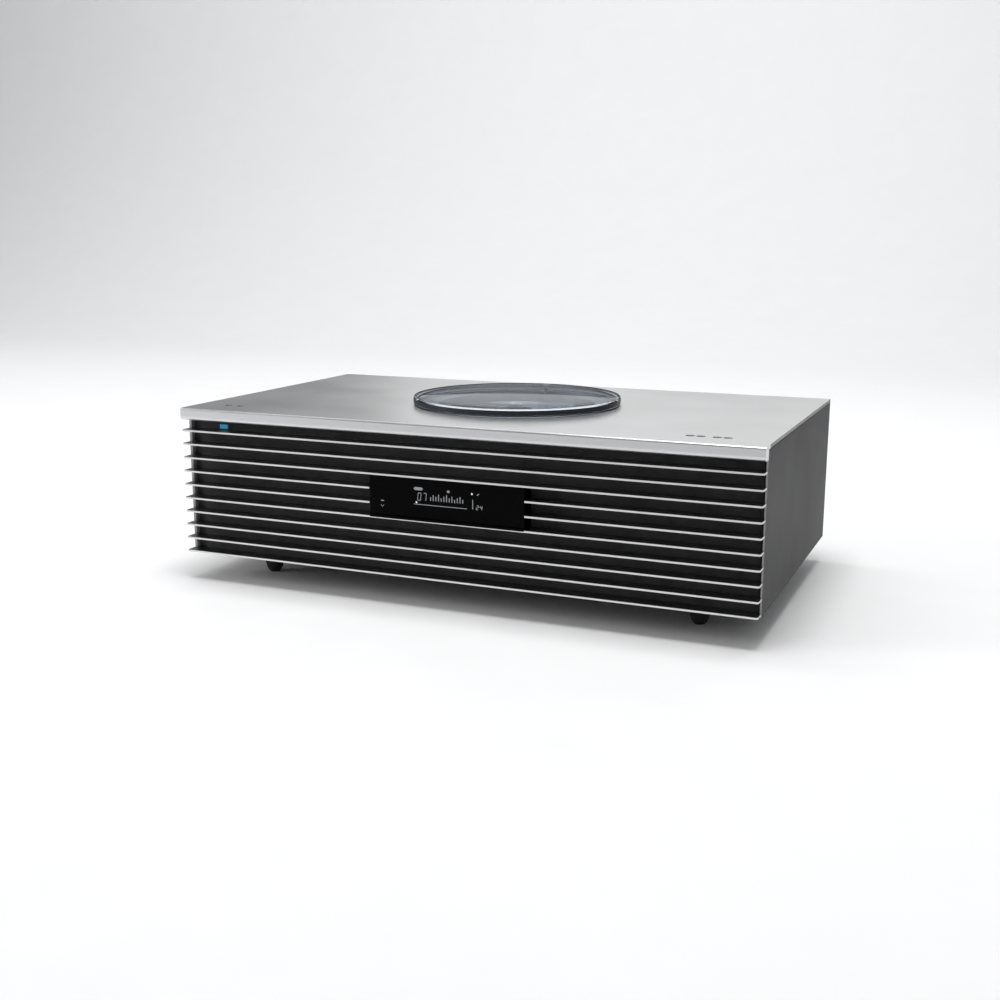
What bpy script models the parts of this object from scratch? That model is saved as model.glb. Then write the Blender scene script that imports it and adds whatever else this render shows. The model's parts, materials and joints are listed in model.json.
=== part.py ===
"""A tabletop hifi system with a top-loading disc player under a round swivelling lid.

Run with: blender --background --python part.py
Units are metres, +Z is up, the front faces -Y, and the origin is on the floor below the middle of the case.
"""

import math

import bmesh
import bpy
from mathutils import Matrix, Vector

MM = 0.001
GAP = 0.3 * MM  # clearance between neighbouring pieces
RUNNING_FIT = 0.09 * MM  # radial clearance of a pin that turns in its bush

# Driving sizes of the case.
WIDTH = 450 * MM
DEPTH = 257 * MM
TOP_Z = 135.5 * MM  # upper face of the top panel
BASE_Z = 20.5 * MM  # underside of the case, above the feet
FRONT_Y = -DEPTH / 2
REAR_Y = DEPTH / 2
TOP_THICKNESS = 2.5 * MM
LIP_HEIGHT = 9.5 * MM
SIDE_THICKNESS = 2.5 * MM
OVERHANG = 10 * MM  # how far the lip and the fins stand in front of the side panels
INNER_X = WIDTH / 2 - SIDE_THICKNESS - GAP

# Louvre fins on the front.
FIN_COUNT = 10
FIN_PITCH = 10.59 * MM
FIN_FIRST_Z = TOP_Z - 17.5 * MM
FIN_THICKNESS = 1.3 * MM
FIN_DEPTH = 13 * MM
FIN_CORNER = 1.5 * MM
GRILLE_Y = FRONT_Y + 13.5 * MM
BAFFLE_Y = GRILLE_Y + 1.8 * MM
BAFFLE_THICKNESS = 3 * MM

# Display window, between the third and the sixth fin.
WINDOW_HALF = 60.5 * MM
WINDOW_FINS = (3, 4)  # indices of the fins that the window interrupts

# Disc well, lid and its pivot.
WELL_CENTRE = Vector((2 * MM, 0, 0))
WELL_RADIUS = 62 * MM
WELL_WALL = 1.5 * MM
WELL_FLOOR_Z = TOP_Z - 9.5 * MM
APERTURE_RADIUS = 77 * MM
LID_RADIUS = 81.5 * MM
LID_GAP = 1.2 * MM
LID_TOP_Z = TOP_Z + 9 * MM
LID_RIM_Z = LID_TOP_Z - 2.2 * MM
PIVOT = Vector((0, 70 * MM, 0))
PIN_RADIUS = 3 * MM

# Disc drive: the pickup slides along -X, away from the hub.
DISC_Z = WELL_FLOOR_Z + 2.5 * MM
LENS_START = 24 * MM
SLED_TRAVEL = 32 * MM
ROD_Y = 17 * MM
ROD_Z = TOP_Z - 19.5 * MM
SCREW_Y = -27 * MM
SCREW_RADIUS = 1.8 * MM
PLATE_Z = TOP_Z - 15 * MM

# Buttons on the top panel.
BUTTON_Y = FRONT_Y + 27 * MM
BUTTON_RADIUS = 2.9 * MM
BUTTON_XS = {
    "power_button": -199 * MM,
    "source_button": -188 * MM,
    "volume_down_button": 169 * MM,
    "volume_up_button": 176.2 * MM,
    "play_button": 187.2 * MM,
    "stop_button": 194.3 * MM,
}

# Loudspeakers.
DRIVER_Z = 75 * MM
WOOFER_X = 160 * MM
WOOFER_RADIUS = 41 * MM
TWEETER_X = 92 * MM
SUB_CENTRE = Vector((0, 10 * MM, 0))
SUB_RADIUS = 62 * MM

# Feet.
FOOT_X = 175 * MM
FOOT_Y = 82 * MM

# Rear connections.
REAR_PANEL_Y = 124 * MM
REAR_THICKNESS = 2 * MM
PORT_Z = 62 * MM
PORT_RADIUS = 18.5 * MM
JACKS_X = (-178 * MM, -98 * MM)
JACKS_Z = (34 * MM, 52 * MM)
INLET_X = 165 * MM
INLET_Z = 43 * MM

ROUND = 64  # segments of the large round pieces
SMALL_ROUND = 24
TINY_ROUND = 16

FACING_FRONT = (math.pi / 2, 0, 0)
FACING_DOWN = (math.pi, 0, 0)
ALONG_X = (0, math.pi / 2, 0)


def clear_scene():
    for obj in list(bpy.data.objects):
        bpy.data.objects.remove(obj)
    parts = bpy.data.collections.new("hifi_system")
    cutters = bpy.data.collections.new("cutters")
    for collection in (parts, cutters):
        bpy.context.scene.collection.children.link(collection)
    return parts, cutters


PARTS, CUTTERS = clear_scene()


def material(name, colour, roughness, metallic=0.0):
    made = bpy.data.materials.new(name)
    made.use_nodes = True
    shader = made.node_tree.nodes["Principled BSDF"]
    shader.inputs["Base Color"].default_value = (*colour, 1)
    shader.inputs["Roughness"].default_value = roughness
    shader.inputs["Metallic"].default_value = metallic
    return made


SILVER = material("silver_aluminium", (0.72, 0.72, 0.72), 0.35, 1.0)
GRAPHITE = material("grey_side_aluminium", (0.30, 0.30, 0.31), 0.4, 1.0)
BLACK = material("black_plastic", (0.02, 0.02, 0.02), 0.5)
GLOSS = material("gloss_black_window", (0.005, 0.005, 0.005), 0.05)
CLOTH = material("grille_cloth", (0.03, 0.03, 0.03), 0.9)
SMOKED = material("smoked_acrylic", (0.25, 0.27, 0.30), 0.03)
WELL_GREY = material("well_grey", (0.35, 0.36, 0.38), 0.4, 0.6)
STEEL = material("steel", (0.6, 0.6, 0.6), 0.3, 1.0)
RUBBER = material("foot_rubber", (0.015, 0.015, 0.015), 0.8)
BOARD = material("circuit_board", (0.02, 0.15, 0.06), 0.6)
PAPER = material("speaker_cone", (0.05, 0.05, 0.055), 0.7)
BLUE = material("blue_indicator", (0.05, 0.45, 0.8), 0.3)


def add_object(name, mesh, look, collection=PARTS):
    obj = bpy.data.objects.new(name, mesh)
    collection.objects.link(obj)
    if look:
        mesh.materials.append(look)
    return obj


def from_bmesh(name, shape, look, collection=PARTS):
    bmesh.ops.recalc_face_normals(shape, faces=shape.faces)
    mesh = bpy.data.meshes.new(name)
    shape.to_mesh(mesh)
    shape.free()
    return add_object(name, mesh, look, collection)


def box(name, low, high, look=None, collection=PARTS, bevel=0.0):
    low, high = Vector(low), Vector(high)
    size, centre = high - low, (low + high) / 2
    shape = bmesh.new()
    bmesh.ops.create_cube(shape, size=1)
    bmesh.ops.scale(shape, vec=size, verts=shape.verts)
    obj = from_bmesh(name, shape, look, collection)
    obj.location = centre
    if bevel:
        round_edges(obj, bevel)
    return obj


def round_edges(obj, width, segments=2):
    modifier = obj.modifiers.new("rounded_edges", "BEVEL")
    modifier.width = width
    modifier.segments = segments
    modifier.limit_method = "ANGLE"


def rod(name, centre, radius, length, rotation=(0, 0, 0), look=None, collection=PARTS, sides=SMALL_ROUND):
    """A cylinder about its own Z."""
    shape = bmesh.new()
    bmesh.ops.create_cone(
        shape, cap_ends=True, segments=sides, radius1=radius, radius2=radius, depth=length
    )
    obj = from_bmesh(name, shape, look, collection)
    obj.location = centre
    obj.rotation_euler = rotation
    return obj


def box_cutter(name, low, high):
    return box(name, low, high, collection=CUTTERS)


def rod_cutter(name, centre, radius, length, rotation=(0, 0, 0), sides=SMALL_ROUND):
    return rod(name, centre, radius, length, rotation, collection=CUTTERS, sides=sides)


def turned(name, profile, centre, rotation=(0, 0, 0), look=None, sides=ROUND, ring=False):
    """A profile of (radius, height) points turned about Z, running down its outer side.

    A ring is a profile that closes on itself.
    """
    mesh = bpy.data.meshes.new(name)
    count = len(profile)
    edges = [(i, i + 1) for i in range(count - 1)]
    if ring:
        edges.append((count - 1, 0))
    mesh.from_pydata([(radius, 0, height) for radius, height in profile], edges, [])
    obj = add_object(name, mesh, look)
    obj.location = centre
    obj.rotation_euler = rotation
    screw = obj.modifiers.new("turned", "SCREW")
    screw.steps = screw.render_steps = sides
    screw.use_merge_vertices = True
    screw.merge_threshold = 0.00001
    screw.use_smooth_shade = False
    return obj


def plate(name, outline, low, high, look=None, collection=PARTS, axis="Z"):
    """A flat outline given an even thickness, from low to high along the axis."""
    curve = bpy.data.curves.new(name, "CURVE")
    curve.dimensions = "2D"
    curve.fill_mode = "BOTH"
    curve.extrude = (high - low) / 2
    spline = curve.splines.new("POLY")
    spline.points.add(len(outline) - 1)
    for point, (u, v) in zip(spline.points, outline):
        point.co = (u, v, 0, 1)
    spline.use_cyclic_u = True
    drawn = bpy.data.objects.new(name + "_outline", curve)
    collection.objects.link(drawn)
    bpy.context.view_layer.update()
    mesh = bpy.data.meshes.new_from_object(drawn.evaluated_get(bpy.context.evaluated_depsgraph_get()))
    bpy.data.objects.remove(drawn)
    shape = bmesh.new()
    shape.from_mesh(mesh)
    bmesh.ops.remove_doubles(shape, verts=shape.verts, dist=0.00001)
    middle = (low + high) / 2
    if axis == "X":  # outline is (y, z)
        turn = Matrix(((0, 0, 1), (1, 0, 0), (0, 1, 0))).to_4x4()
        turn.translation = (middle, 0, 0)
    else:
        turn = Matrix.Translation((0, 0, middle))
    bmesh.ops.transform(shape, matrix=turn, verts=shape.verts)
    return from_bmesh(name, shape, look, collection)


def arc(centre, radius, start, end, steps):
    """Points of an arc, with the angles in degrees."""
    angles = [math.radians(start + (end - start) * i / steps) for i in range(steps + 1)]
    return [(centre[0] + radius * math.cos(a), centre[1] + radius * math.sin(a)) for a in angles]


def boolean(obj, other, operation):
    modifier = obj.modifiers.new(operation.lower() + "_" + other.name, "BOOLEAN")
    modifier.operation = operation
    modifier.object = other
    other.hide_render = True
    other.display_type = "WIRE"


def cut(obj, *cutters):
    for cutter in cutters:
        boolean(obj, cutter, "DIFFERENCE")


def join(obj, *others):
    for other in others:
        boolean(obj, other, "UNION")


def at(x, y, z):
    return Vector((x, y, z))


# --- Case -----------------------------------------------------------------------------------------


def make_top_panel():
    nose = 1.5 * MM
    chin = 3 * MM
    under = TOP_Z - TOP_THICKNESS
    lip_z = TOP_Z - LIP_HEIGHT
    lip_back = FRONT_Y + OVERHANG - 0.7 * MM
    outline = [(REAR_Y, TOP_Z)]
    outline += arc((FRONT_Y + nose, TOP_Z - nose), nose, 90, 180, 5)
    outline += arc((FRONT_Y + chin, lip_z + chin), chin, 180, 270, 7)
    outline += [(lip_back, lip_z), (lip_back, under), (REAR_Y, under)]
    panel = plate("top_panel", outline, -WIDTH / 2, WIDTH / 2, SILVER, axis="X")
    aperture = rod_cutter(
        "aperture_cut", WELL_CENTRE + at(0, 0, TOP_Z), APERTURE_RADIUS, 20 * MM, sides=ROUND
    )
    cut(panel, aperture)
    for name, x in BUTTON_XS.items():
        hole = rod_cutter(
            name + "_hole", at(x, BUTTON_Y, TOP_Z), BUTTON_RADIUS + GAP, 10 * MM, sides=TINY_ROUND
        )
        cut(panel, hole)


def make_side_panels():
    top = TOP_Z - TOP_THICKNESS - GAP
    front = FRONT_Y + OVERHANG
    inner = WIDTH / 2 - SIDE_THICKNESS
    for side, name in ((-1, "side_panel_left"), (1, "side_panel_right")):
        xs = sorted((side * inner, side * WIDTH / 2))
        box(name, (xs[0], front, BASE_Z), (xs[1], REAR_Y, top), GRAPHITE, bevel=0.4 * MM)


def make_bottom_plate():
    thickness = 2 * MM
    front = GRILLE_Y - 0.1 * MM
    rear = REAR_PANEL_Y - GAP
    panel = box("bottom_plate", (-INNER_X, front, BASE_Z), (INNER_X, rear, BASE_Z + thickness), BLACK)
    slot_count = 9
    slot_pitch = 11 * MM
    slot_half = 2.5 * MM
    reach = SUB_RADIUS - 9 * MM
    for i in range(slot_count):
        y = (i - (slot_count - 1) / 2) * slot_pitch
        half = math.sqrt(reach**2 - y**2)
        low = SUB_CENTRE + at(-half, y - slot_half, BASE_Z - thickness)
        high = SUB_CENTRE + at(half, y + slot_half, BASE_Z + 2 * thickness)
        cut(panel, box_cutter(f"guard_slot_{i}", low, high))


def make_rear_panel():
    top = TOP_Z - TOP_THICKNESS - GAP
    low_y, high_y = REAR_PANEL_Y, REAR_PANEL_Y + REAR_THICKNESS
    panel = box("rear_panel", (-INNER_X, low_y, BASE_Z), (INNER_X, high_y, top), BLACK)
    reach = 5 * MM
    port = rod_cutter(
        "port_hole", at(0, low_y, PORT_Z), PORT_RADIUS + GAP, 6 * reach, FACING_FRONT, sides=ROUND // 2
    )
    jacks = box_cutter(
        "jacks_window",
        (JACKS_X[0] - GAP, low_y - reach, JACKS_Z[0] - GAP),
        (JACKS_X[1] + GAP, high_y + reach, JACKS_Z[1] + GAP),
    )
    half_x, half_z = 12 * MM + GAP, 9 * MM + GAP
    inlet = box_cutter(
        "inlet_window",
        (INLET_X - half_x, low_y - reach, INLET_Z - half_z),
        (INLET_X + half_x, high_y + reach, INLET_Z + half_z),
    )
    cut(panel, port, jacks, inlet)


def make_feet():
    height = BASE_Z - GAP
    pad, shin, collar = 3.6 * MM, 7 * MM, 9.5 * MM
    profile = [(0, height), (collar, height), (shin + MM, height / 2), (shin, 7 * MM)]
    profile += [(shin - MM, 3 * MM), (pad, 0), (0, 0)]
    for side_x, word_x in ((-1, "left"), (1, "right")):
        for side_y, word_y in ((-1, "front"), (1, "rear")):
            centre = at(side_x * FOOT_X, side_y * FOOT_Y, 0)
            turned(f"foot_{word_y}_{word_x}", profile, centre, look=RUBBER, sides=SMALL_ROUND)


# --- Front ----------------------------------------------------------------------------------------


def fin_outline(left, right, round_left, round_right):
    """Seen from above: rounded outer corners, stepped in behind the side panels' front edges."""
    back = FRONT_Y + FIN_DEPTH
    step = FRONT_Y + OVERHANG - GAP
    points = []
    if round_right:
        points += [(INNER_X, back), (INNER_X, step), (right, step)]
        points += arc((right - FIN_CORNER, FRONT_Y + FIN_CORNER), FIN_CORNER, 0, -90, 5)
    else:
        points += [(right, back), (right, FRONT_Y)]
    if round_left:
        points += arc((left + FIN_CORNER, FRONT_Y + FIN_CORNER), FIN_CORNER, -90, -180, 5)
        points += [(left, step), (-INNER_X, step), (-INNER_X, back)]
    else:
        points += [(left, FRONT_Y), (left, back)]
    return points


def make_fins():
    half = WIDTH / 2 - 0.3 * MM
    for i in range(FIN_COUNT):
        middle = FIN_FIRST_Z - i * FIN_PITCH
        low, high = middle - FIN_THICKNESS / 2, middle + FIN_THICKNESS / 2
        name = f"fin_{i + 1:02d}"
        if i in WINDOW_FINS:
            edge = WINDOW_HALF + GAP
            plate(name + "_left", fin_outline(-half, -edge, True, False), low, high, SILVER)
            plate(name + "_right", fin_outline(edge, half, False, True), low, high, SILVER)
        else:
            plate(name, fin_outline(-half, half, True, True), low, high, SILVER)


def make_grille_and_baffle():
    top = TOP_Z - LIP_HEIGHT - GAP
    low_z = BASE_Z + 2 * MM + GAP
    box("grille_cloth", (-INNER_X, GRILLE_Y, low_z), (INNER_X, GRILLE_Y + 1.5 * MM, top), CLOTH)
    baffle = box(
        "front_baffle", (-INNER_X, BAFFLE_Y, low_z), (INNER_X, BAFFLE_Y + BAFFLE_THICKNESS, top), BLACK
    )
    openings = [(x, WOOFER_RADIUS - 2.5 * MM) for x in (-WOOFER_X, WOOFER_X)]
    openings += [(x, 12 * MM) for x in (-TWEETER_X, TWEETER_X)]
    for i, (x, radius) in enumerate(openings):
        hole = rod_cutter(
            f"driver_hole_{i}", at(x, BAFFLE_Y, DRIVER_Z), radius, 20 * MM, FACING_FRONT, sides=ROUND // 2
        )
        cut(baffle, hole)


def make_display():
    upper_fin = FIN_FIRST_Z - (WINDOW_FINS[0] - 1) * FIN_PITCH
    lower_fin = FIN_FIRST_Z - (WINDOW_FINS[-1] + 1) * FIN_PITCH
    high_z = upper_fin - FIN_THICKNESS / 2 - GAP
    low_z = lower_fin + FIN_THICKNESS / 2 + GAP
    front, back = FRONT_Y + 0.8 * MM, GRILLE_Y - GAP
    glass, wall = 2.4 * MM, 1.6 * MM
    window = box("display_window", (-WINDOW_HALF, front, low_z), (WINDOW_HALF, back, high_z), GLOSS)
    hollow = box_cutter(
        "window_hollow",
        (-WINDOW_HALF + wall, front + glass, low_z + wall),
        (WINDOW_HALF - wall, back + 5 * MM, high_z - wall),
    )
    cut(window, hollow)
    half = 40 * MM
    low, high = low_z + wall + MM, high_z - wall - MM
    box("display_module", (-half, front + glass + GAP, low), (half, back - MM, high), BOARD)
    led_x, led_z = -194.2 * MM, TOP_Z - 14.5 * MM
    half_x, half_z = 3.4 * MM, 1.6 * MM
    box(
        "power_indicator",
        (led_x - half_x, GRILLE_Y - 1.5 * MM, led_z - half_z),
        (led_x + half_x, GRILLE_Y - GAP, led_z + half_z),
        BLUE,
    )


# --- Lid, disc well and drive ---------------------------------------------------------------------


def make_lid():
    low = TOP_Z + LID_GAP
    edge = 1.5 * MM
    rise = LID_TOP_Z - LID_RIM_Z
    crown = [(LID_RADIUS * share, LID_TOP_Z - rise * share**2) for share in (0, 0.35, 0.65, 0.85)]
    rim = [
        (LID_RADIUS - edge, LID_RIM_Z),
        (LID_RADIUS - edge / 3, LID_RIM_Z - edge / 3),
        (LID_RADIUS, LID_RIM_Z - edge),
    ]
    profile = crown + rim + [(LID_RADIUS, low + edge / 2), (LID_RADIUS - edge / 2, low), (0, low)]
    lid = turned("lid_dome", profile, WELL_CENTRE, look=SMOKED)
    socket_top = LID_RIM_Z - MM
    socket = rod_cutter(
        "pin_socket",
        at(PIVOT.x, PIVOT.y, (low + socket_top) / 2 - MM),
        PIN_RADIUS + GAP,
        socket_top - low + 2 * MM,
        sides=SMALL_ROUND,
    )
    cut(lid, socket)
    pin_top = socket_top - GAP
    clip_top, foot = TOP_Z - 12.5 * MM, TOP_Z - 17 * MM
    pin = [
        (0, pin_top),
        (PIN_RADIUS, pin_top),
        (PIN_RADIUS, clip_top),
        (5 * MM, clip_top),
        (5 * MM, foot),
        (0, foot),
    ]
    turned("lid_pivot", pin, PIVOT, look=STEEL, sides=SMALL_ROUND)
    high, low = TOP_Z - 0.9 * MM, TOP_Z - 10.5 * MM
    inner, outer = PIN_RADIUS + RUNNING_FIT, 5.5 * MM
    bush = [(inner, high), (outer, high), (outer, low), (inner, low)]
    turned("pivot_bush", bush, PIVOT, look=BLACK, sides=SMALL_ROUND, ring=True)


def make_disc_well():
    flange_top = TOP_Z - 1.2 * MM
    flange_low = flange_top - WELL_WALL
    outer = APERTURE_RADIUS - 0.4 * MM
    wall = WELL_RADIUS + WELL_WALL
    under = WELL_FLOOR_Z - WELL_WALL
    fillet = 2 * MM
    profile = [
        (0, WELL_FLOOR_Z),
        (WELL_RADIUS - fillet, WELL_FLOOR_Z),
        (WELL_RADIUS, WELL_FLOOR_Z + fillet),
    ]
    profile += [(WELL_RADIUS, flange_top), (outer, flange_top), (outer, flange_low), (wall, flange_low)]
    profile += [(wall, under), (0, under)]
    well = turned("disc_well", profile, WELL_CENTRE, look=WELL_GREY)
    cutters = [rod_cutter("hub_hole", WELL_CENTRE + at(0, 0, WELL_FLOOR_Z), 13.5 * MM, 12 * MM)]
    start, end, half = -8 * MM, -61 * MM, 6.5 * MM
    cutters.append(
        box_cutter(
            "pickup_slot",
            WELL_CENTRE + at(end, -half, under - 2 * MM),
            WELL_CENTRE + at(start, half, WELL_FLOOR_Z + 2 * MM),
        )
    )
    cutters.append(rod_cutter("bush_hole", PIVOT + at(0, 0, flange_top), 5.8 * MM, 12 * MM))
    cut(well, *cutters)


def make_disc_drive():
    table, nose, shaft = 12 * MM, 7.3 * MM, 1.5 * MM
    hub_top = TOP_Z - 2 * MM
    table_low = WELL_FLOOR_Z + 0.6 * MM
    shaft_low = PLATE_Z - 9 * MM
    profile = [(0, hub_top), (nose * 0.6, hub_top - 0.4 * MM), (nose, hub_top - 1.6 * MM), (nose, DISC_Z)]
    profile += [
        (table, DISC_Z),
        (table, table_low),
        (shaft, table_low),
        (shaft, shaft_low),
        (0, shaft_low),
    ]
    turned("disc_hub", profile, WELL_CENTRE, look=BLACK, sides=32)

    motor_top, motor_low, bore = PLATE_Z - GAP, PLATE_Z - 12.5 * MM, shaft + GAP
    motor = [(0, shaft_low - GAP), (bore, shaft_low - GAP), (bore, motor_top), (12 * MM, motor_top)]
    motor += [(12 * MM, motor_low), (0, motor_low)]
    turned("spindle_motor", motor, WELL_CENTRE, look=STEEL, sides=SMALL_ROUND)

    rod_start, rod_end = -72 * MM, -8 * MM
    plate_thickness = 1.5 * MM
    frame = box(
        "traverse_plate",
        WELL_CENTRE + at(-76 * MM, -33 * MM, PLATE_Z),
        WELL_CENTRE + at(32 * MM, 26 * MM, PLATE_Z + plate_thickness),
        STEEL,
    )
    lug_half = 3 * MM
    lug_low = ROD_Z - 3 * MM
    for side in (-1, 1):
        for end, low_x in (("outer", rod_start - 3 * MM), ("inner", rod_end)):
            lug = box_cutter(
                f"rod_lug_{end}_{side}",
                WELL_CENTRE + at(low_x, side * ROD_Y - lug_half, lug_low),
                WELL_CENTRE + at(low_x + 3 * MM, side * ROD_Y + lug_half, PLATE_Z + plate_thickness / 2),
            )
            join(frame, lug)
    window = box_cutter(
        "sled_window",
        WELL_CENTRE + at(-64 * MM, -9 * MM, PLATE_Z - 5 * MM),
        WELL_CENTRE + at(-15 * MM, 9 * MM, PLATE_Z + 5 * MM),
    )
    shaft_hole = rod_cutter(
        "shaft_hole", WELL_CENTRE + at(0, 0, PLATE_Z), 3.5 * MM, 10 * MM, sides=TINY_ROUND
    )
    cut(frame, window, shaft_hole)

    middle = (rod_start + rod_end) / 2
    length = rod_end - rod_start - 2 * GAP
    for side, word in ((-1, "front"), (1, "rear")):
        rod(
            f"guide_rod_{word}",
            WELL_CENTRE + at(middle, side * ROD_Y, ROD_Z),
            1.5 * MM,
            length,
            ALONG_X,
            STEEL,
            sides=TINY_ROUND,
        )

    motor_x = -6 * MM
    screw_length = motor_x - GAP - rod_start
    screw_middle = (motor_x - GAP + rod_start) / 2
    rod(
        "lead_screw",
        WELL_CENTRE + at(screw_middle, SCREW_Y, ROD_Z),
        SCREW_RADIUS,
        screw_length,
        ALONG_X,
        STEEL,
        sides=TINY_ROUND,
    )
    motor_radius = 4.2 * MM
    motor_length = 22 * MM
    rod(
        "sled_motor",
        WELL_CENTRE + at(motor_x + motor_length / 2, SCREW_Y, ROD_Z - 0.2 * MM),
        motor_radius,
        motor_length,
        ALONG_X,
        STEEL,
    )


def make_laser_pickup():
    lens_x = -LENS_START
    half_x = 8 * MM
    body_low, body_high = ROD_Z - 4 * MM, PLATE_Z - 1.5 * MM
    nut_edge = SCREW_Y + SCREW_RADIUS + 0.5 * MM
    sled = box(
        "laser_pickup",
        WELL_CENTRE + at(lens_x - half_x, nut_edge, body_low),
        WELL_CENTRE + at(lens_x + half_x, ROD_Y + 4 * MM, body_high),
        BLACK,
    )
    head_x, head_y = 4.5 * MM, 5.8 * MM
    head = box_cutter(
        "lens_housing",
        WELL_CENTRE + at(lens_x - head_x, -head_y, body_high - MM),
        WELL_CENTRE + at(lens_x + head_x, head_y, WELL_FLOOR_Z - 0.2 * MM),
    )
    lens = rod_cutter(
        "lens", WELL_CENTRE + at(lens_x, 0, WELL_FLOOR_Z), 2.4 * MM, 1.6 * MM, sides=TINY_ROUND
    )
    join(sled, head, lens)
    for side in (-1, 1):
        tunnel = rod_cutter(
            f"rod_tunnel_{side}",
            WELL_CENTRE + at(lens_x, side * ROD_Y, ROD_Z),
            1.5 * MM + GAP,
            40 * MM,
            ALONG_X,
            sides=TINY_ROUND,
        )
        cut(sled, tunnel)


def make_buttons():
    stem, flange = 1.2 * MM, 3.3 * MM
    top, flange_top, flange_low, low = (TOP_Z + d * MM for d in (-0.3, -3, -4.5, -7.2))
    profile = [
        (0, top),
        (BUTTON_RADIUS - 0.3 * MM, top),
        (BUTTON_RADIUS, top - 0.3 * MM),
        (BUTTON_RADIUS, flange_top),
    ]
    profile += [(flange, flange_top), (flange, flange_low), (stem, flange_low), (stem, low), (0, low)]
    for name, x in BUTTON_XS.items():
        turned(name, profile, at(x, BUTTON_Y, 0), look=SILVER, sides=TINY_ROUND)
    board_top = TOP_Z - 9.4 * MM
    switch_top = low - 0.7 * MM
    for side, word, names in ((-1, "left", list(BUTTON_XS)[:2]), (1, "right", list(BUTTON_XS)[2:])):
        xs = [BUTTON_XS[n] for n in names]
        board = box(
            f"switch_board_{word}",
            (min(xs) - 8 * MM, BUTTON_Y - 7 * MM, board_top - 1.6 * MM),
            (max(xs) + 8 * MM, BUTTON_Y + 10 * MM, board_top),
            BOARD,
        )
        for name, x in zip(names, xs):
            half = 2.5 * MM
            switch = box_cutter(
                name + "_switch",
                (x - half, BUTTON_Y - half, board_top - 0.5 * MM),
                (x + half, BUTTON_Y + half, switch_top),
            )
            join(board, switch)


# --- Loudspeakers ---------------------------------------------------------------------------------


def basket_profile(radius, magnet, depth):
    """Open at the front: the inner floor, the flange's face, then the outside down to the magnet."""
    flange = 2.5 * MM
    floor = -depth * 0.55
    return [
        (0, floor),
        (magnet * 0.8, floor),
        (radius - 4 * MM, -7 * MM),
        (radius - 4 * MM, flange),
        (radius, flange),
        (radius, -MM),
        (radius - 2.5 * MM, -MM),
        (radius - 2.5 * MM, -9 * MM),
        (magnet, floor - 2 * MM),
        (magnet, -depth),
        (0, -depth),
    ]


def cone_profile(radius, coil, depth):
    """Roll surround, cone and dust cap in front; the voice-coil former behind."""
    wall = 1.2 * MM
    roll = radius * 0.09
    return [
        (0, -depth * 0.35),
        (coil * 0.7, -depth * 0.45),
        (coil, -depth * 0.62),
        (radius - 2 * roll, -0.5 * MM),
        (radius - 1.5 * roll, 0.9 * MM),
        (radius - 0.6 * roll, 0.9 * MM),
        (radius, -0.6 * MM),
        (radius, -0.6 * MM - wall),
        (radius - 2 * roll, -0.6 * MM - wall),
        (coil, -depth * 0.62 - 1.5 * wall),
        (coil, -depth),
        (0, -depth),
    ]


def make_loudspeakers():
    flange = 2.5 * MM
    seat_y = BAFFLE_Y + BAFFLE_THICKNESS + GAP + flange
    for side, word in ((-1, "left"), (1, "right")):
        centre = at(side * WOOFER_X, seat_y, DRIVER_Z)
        basket = basket_profile(WOOFER_RADIUS, 24 * MM, 44 * MM)
        turned(f"woofer_{word}", basket, centre, FACING_FRONT, STEEL, sides=32)
        cone = cone_profile(WOOFER_RADIUS - 4.5 * MM, 11 * MM, 16 * MM)
        turned(f"woofer_cone_{word}", cone, centre, FACING_FRONT, PAPER, sides=32)
        centre = at(side * TWEETER_X, seat_y, DRIVER_Z)
        dome, plate_radius, magnet = 9.5 * MM, 17 * MM, 13 * MM
        tweeter = [
            (0, 3.5 * MM),
            (dome * 0.7, 2 * MM),
            (dome, -0.5 * MM),
            (dome + 1.5 * MM, 2.5 * MM),
            (plate_radius, 2.5 * MM),
        ]
        tweeter += [(plate_radius, -MM), (magnet, -MM), (magnet, -16 * MM), (0, -16 * MM)]
        turned(f"tweeter_{word}", tweeter, centre, FACING_FRONT, BLACK, sides=SMALL_ROUND)
    seat = SUB_CENTRE + at(0, 0, BASE_Z + 2 * MM + 2 * GAP + 2 * flange)
    ring = rod_cutter(
        "sub_spacer", SUB_CENTRE + at(0, 0, seat.z - flange), SUB_RADIUS, 2 * flange, sides=32
    )
    hole = rod_cutter(
        "sub_spacer_hole",
        SUB_CENTRE + at(0, 0, seat.z - flange),
        SUB_RADIUS - 4 * MM,
        12 * flange,
        sides=32,
    )
    cut(ring, hole)
    woofer = turned(
        "subwoofer", basket_profile(SUB_RADIUS, 36 * MM, 56 * MM), seat, FACING_DOWN, STEEL, sides=32
    )
    join(woofer, ring)
    turned(
        "subwoofer_cone",
        cone_profile(SUB_RADIUS - 4.5 * MM, 16 * MM, 22 * MM),
        seat,
        FACING_DOWN,
        PAPER,
        sides=32,
    )


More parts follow.
